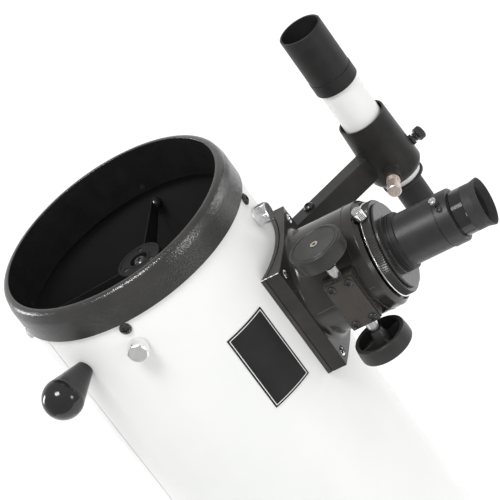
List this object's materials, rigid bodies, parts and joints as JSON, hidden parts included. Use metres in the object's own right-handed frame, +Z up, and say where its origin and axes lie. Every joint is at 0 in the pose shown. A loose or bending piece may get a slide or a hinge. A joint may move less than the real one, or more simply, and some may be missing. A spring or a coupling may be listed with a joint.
{
  "type": "newtonian reflector telescope",
  "caption": "White-tube Newtonian reflector with a black front ring, rack-and-pinion focuser, eyepiece, finder on a stalk bracket, guide handle and altitude hubs.",
  "frame": {"origin": "centre of the rear ring's rear face, on the optical axis", "axes": "+Z up the optical axis to the open front end, +X out along the focuser"},
  "size_m": [0.3522, 0.2628, 1.1845],
  "materials": {
    "white_paint": "gloss enamel",
    "crackle_black": "fine crackle",
    "black_metal": "satin",
    "black_alloy": "black anodised",
    "black_plastic": "gloss",
    "chrome": "polished",
    "steel": "brushed",
    "alloy": "cast",
    "brass": "turned",
    "rubber": "matte",
    "glass": "coated",
    "mirror": "aluminised",
    "label": "printed black with a white border line"
  },
  "bodies": {
    "tube": {"main_tube": "white_paint", "front_ring": "crackle_black", "rear_ring": "crackle_black", "ring_screws": "black_metal", "cell_back_plate": "alloy", "cell_plate_screws": "black_metal", "collimation_springs": "steel", "spider_vanes": "black_metal", "spider_nuts": "chrome", "spider_hub": "black_alloy", "secondary_screws": "steel", "focuser_saddle": "black_alloy", "focuser_housing": "black_alloy", "focuser_base_screws": "chrome", "pinion_cover": "black_alloy", "pinion_cover_screws": "black_metal", "pinion_bushes": "steel", "finder_shoe": "black_alloy", "guide_handle": "black_plastic", "tube_bolts": "black_metal", "altitude_hubs": "crackle_black", "label_plate": "label"},
    "cell": {"mirror_cell": "alloy", "primary_mirror": "mirror", "mirror_clips": "black_metal"},
    "knob_a": {"collimation_knob_a": "steel"},
    "knob_b": {"collimation_knob_b": "steel"},
    "knob_c": {"collimation_knob_c": "steel"},
    "secondary": {"secondary_holder": "black_alloy", "secondary_mirror": "mirror"},
    "drawtube": {"drawtube": "black_alloy", "drawtube_rack": "brass", "drawtube_trim_ring": "chrome", "drawtube_clamp_ring": "black_alloy", "eyepiece_adapter": "black_alloy", "adapter_set_screw": "black_metal"},
    "pinion": {"pinion_shaft": "brass", "focus_knob_front": "black_plastic", "focus_knob_rear": "black_plastic"},
    "clamp_screw": {"drawtube_clamp_screw": "chrome"},
    "eyepiece": {"eyepiece_barrel": "chrome", "eyepiece_body": "black_alloy", "eyecup": "rubber", "eyepiece_lenses": "glass"},
    "eyepiece_screw": {"eyepiece_clamp_screw": "chrome"},
    "finder": {"finder_bracket": "black_alloy", "finder_arm_screw": "black_metal", "finder_locknuts": "black_metal", "finder_plunger_barrel": "chrome", "finder_tube": "white_paint", "finder_o_ring": "rubber", "finder_eyepiece": "black_alloy", "finder_eye_lens": "glass"},
    "shoe_screw": {"finder_shoe_clamp_screw": "black_plastic"},
    "thumbscrew_a": {"finder_thumbscrew_a": "black_metal"},
    "thumbscrew_b": {"finder_thumbscrew_b": "black_metal"},
    "plunger": {"finder_plunger_pin": "steel"},
    "finder_cell": {"finder_dew_shield": "black_alloy", "finder_objective": "glass"},
    "finder_lock": {"finder_lock_ring": "black_alloy"}
  },
  "joints": [
    {"name": "focus_travel", "type": "slide", "parent": "tube", "child": "drawtube", "axis": [1, 0, 0], "range_m": [-0.0025, 0.045]},
    {"name": "focus_knob_turn", "type": "hinge", "parent": "tube", "child": "pinion", "pos_m": [0.1298, -0.0406, 1.0595], "axis": [0, 0, 1], "range_deg": [-540, 31]},
    {"name": "clamp_screw_turn", "type": "hinge", "parent": "drawtube", "child": "clamp_screw", "pos_m": [0.1587, 0, 1.0595], "axis": [0, -0.2419, 0.9703], "range_deg": [0, 360]},
    {"name": "eyepiece_pull", "type": "slide", "parent": "drawtube", "child": "eyepiece", "axis": [1, 0, 0], "range_m": [0, 0.04]},
    {"name": "eyepiece_screw_turn", "type": "hinge", "parent": "drawtube", "child": "eyepiece_screw", "pos_m": [0.208, 0, 1.0595], "axis": [0, -0.342, 0.9397], "range_deg": [0, 360]},
    {"name": "finder_slide", "type": "slide", "parent": "tube", "child": "finder", "axis": [0, 0, 1], "range_m": [0, 0.05]},
    {"name": "shoe_screw_turn", "type": "hinge", "parent": "tube", "child": "shoe_screw", "pos_m": [0.07722, 0.06034, 1.0648], "axis": [-0.6157, 0.788, 0], "range_deg": [0, 360]},
    {"name": "thumbscrew_a_turn", "type": "hinge", "parent": "finder", "child": "thumbscrew_a", "pos_m": [0.15657, 0.12234, 1.056], "axis": [0.8191, 0.5736, 0], "range_deg": [-360, 360]},
    {"name": "thumbscrew_b_turn", "type": "hinge", "parent": "finder", "child": "thumbscrew_b", "pos_m": [0.15657, 0.12234, 1.056], "axis": [-0.9063, 0.4226, 0], "range_deg": [-360, 360]},
    {"name": "plunger_press", "type": "slide", "parent": "finder", "child": "plunger", "axis": [0.0872, -0.9962, 0], "range_m": [0, 0.0025], "stiffness_N_per_m": 900, "springref_m": -0.004},
    {"name": "finder_focus", "type": "slide", "parent": "finder", "child": "finder_cell", "axis": [0, 0, 1], "range_m": [0, 0.005]},
    {"name": "finder_lock_turn", "type": "hinge", "parent": "finder", "child": "finder_lock", "pos_m": [0.15657, 0.12234, 1.056], "axis": [0, 0, 1], "range_deg": [-180, 180]},
    {"name": "secondary_turn", "type": "hinge", "parent": "tube", "child": "secondary", "pos_m": [0, 0, 1.0595], "axis": [0, 0, 1], "range_deg": [-12, 12]},
    {"name": "cell_shift", "type": "slide", "parent": "tube", "child": "cell", "axis": [0, 0, 1], "range_m": [-0.001, 0.001], "deforming": ["collimation_springs"]},
    {"name": "collimation_knob_a_turn", "type": "hinge", "parent": "tube", "child": "knob_a", "pos_m": [0, 0.058, 0.02], "axis": [0, 0, 1], "range_deg": [-361, 361]},
    {"name": "collimation_knob_b_turn", "type": "hinge", "parent": "tube", "child": "knob_b", "pos_m": [-0.05023, -0.029, 0.02], "axis": [0, 0, 1], "range_deg": [-361, 361]},
    {"name": "collimation_knob_c_turn", "type": "hinge", "parent": "tube", "child": "knob_c", "pos_m": [0.05023, -0.029, 0.02], "axis": [0, 0, 1], "range_deg": [-361, 361]}
  ],
  "couplings": [
    {"joint": "focus_knob_turn", "follows": "focus_travel", "rad_per_m": -208.33},
    {"joint": "collimation_knob_a_turn", "follows": "cell_shift", "rad_per_m": 6283.2},
    {"joint": "collimation_knob_b_turn", "follows": "cell_shift", "rad_per_m": 6283.2},
    {"joint": "collimation_knob_c_turn", "follows": "cell_shift", "rad_per_m": 6283.2}
  ]
}
